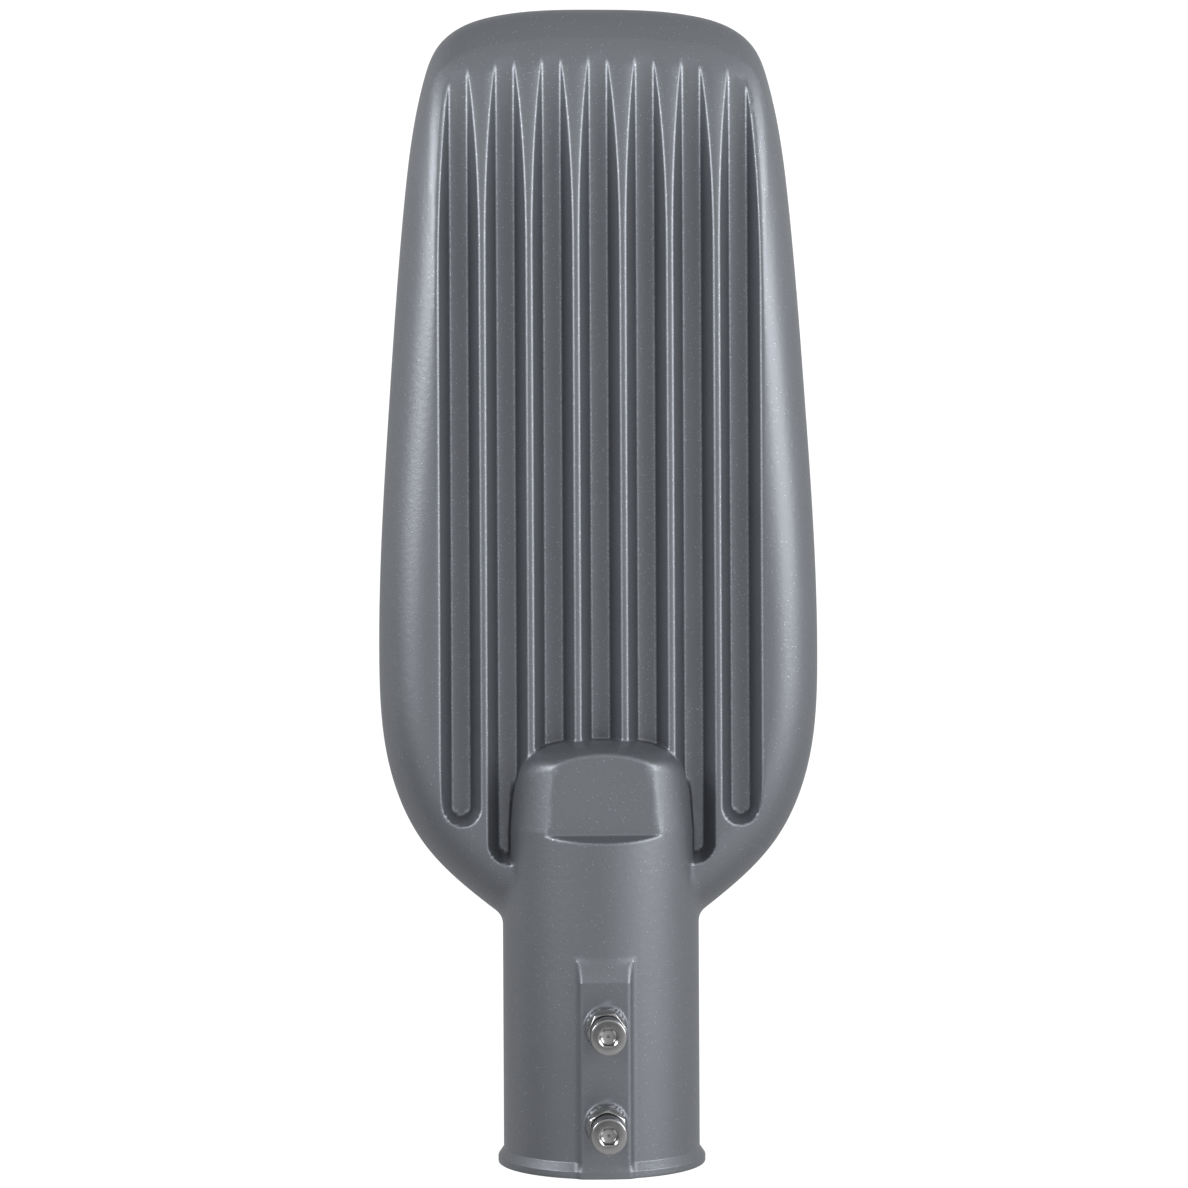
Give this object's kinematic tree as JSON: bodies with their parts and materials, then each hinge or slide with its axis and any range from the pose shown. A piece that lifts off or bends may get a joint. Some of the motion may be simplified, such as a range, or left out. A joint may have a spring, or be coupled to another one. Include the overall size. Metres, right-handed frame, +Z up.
{
  "type": "street light head",
  "caption": "Die-cast street light head with grooved top, clamped tube socket at its tail, glazed lamp frame and screwed gear cover underneath, LED board, driver and wiring inside.",
  "frame": {"origin": "centre of the tube socket's mouth", "axes": "+Y along the head from the socket to its far end, +Z up towards the grooved top, +X to the right as the grooved top is looked down on with the far end upward"},
  "size_m": [0.1668, 0.4364, 0.1052],
  "materials": {
    "coated_casting": "grey powder coat with a fine metallic fleck",
    "stainless": "plain stainless steel",
    "gland_plastic": "black nylon",
    "seal_rubber": "black silicone rubber",
    "clear_glass": "flat toughened glass",
    "thermal_sheet": "grey heat-conducting sheet",
    "led_board": "aluminium board with a white mask",
    "led_package": "yellow phosphor in a white package",
    "lens_plastic": "clear acrylic",
    "tray_white": "white polycarbonate",
    "driver_case": "plain aluminium case, potted",
    "terminal_plastic": "natural polyamide",
    "arrester_plastic": "black potted case",
    "vent_plastic": "black plastic",
    "brass": "plain brass",
    "lead_insulation": "red insulation",
    "mains_insulation": "brown insulation"
  },
  "bodies": {
    "root": {"housing": "coated_casting", "clamp_bolts": "stainless", "clamp_nuts": "stainless", "spring_washers": "stainless", "cable_gland": "gland_plastic", "gland_seal": "seal_rubber", "gland_lock_nut": "gland_plastic", "lamp_frame": "coated_casting", "lamp_frame_seal": "seal_rubber", "gear_cover": "coated_casting", "gear_cover_seal": "seal_rubber", "pressure_vent": "vent_plastic", "lamp_frame_screws": "stainless", "gear_cover_screws": "stainless", "glass": "clear_glass", "glass_seal": "seal_rubber", "glass_clips": "stainless", "glass_clip_screws": "stainless", "thermal_pad": "thermal_sheet", "led_board": "led_board", "led_chips": "led_package", "lens_plate": "lens_plastic", "light_tray": "tray_white", "board_screws": "stainless", "driver": "driver_case", "driver_screws": "stainless", "terminal_block": "terminal_plastic", "terminal_block_screws": "stainless", "surge_arrester": "arrester_plastic", "surge_arrester_screws": "stainless", "earth_washer": "brass", "earth_screw": "brass", "led_leads": "lead_insulation", "mains_leads": "mains_insulation", "lead_grommet": "seal_rubber"}
  },
  "joints": []
}
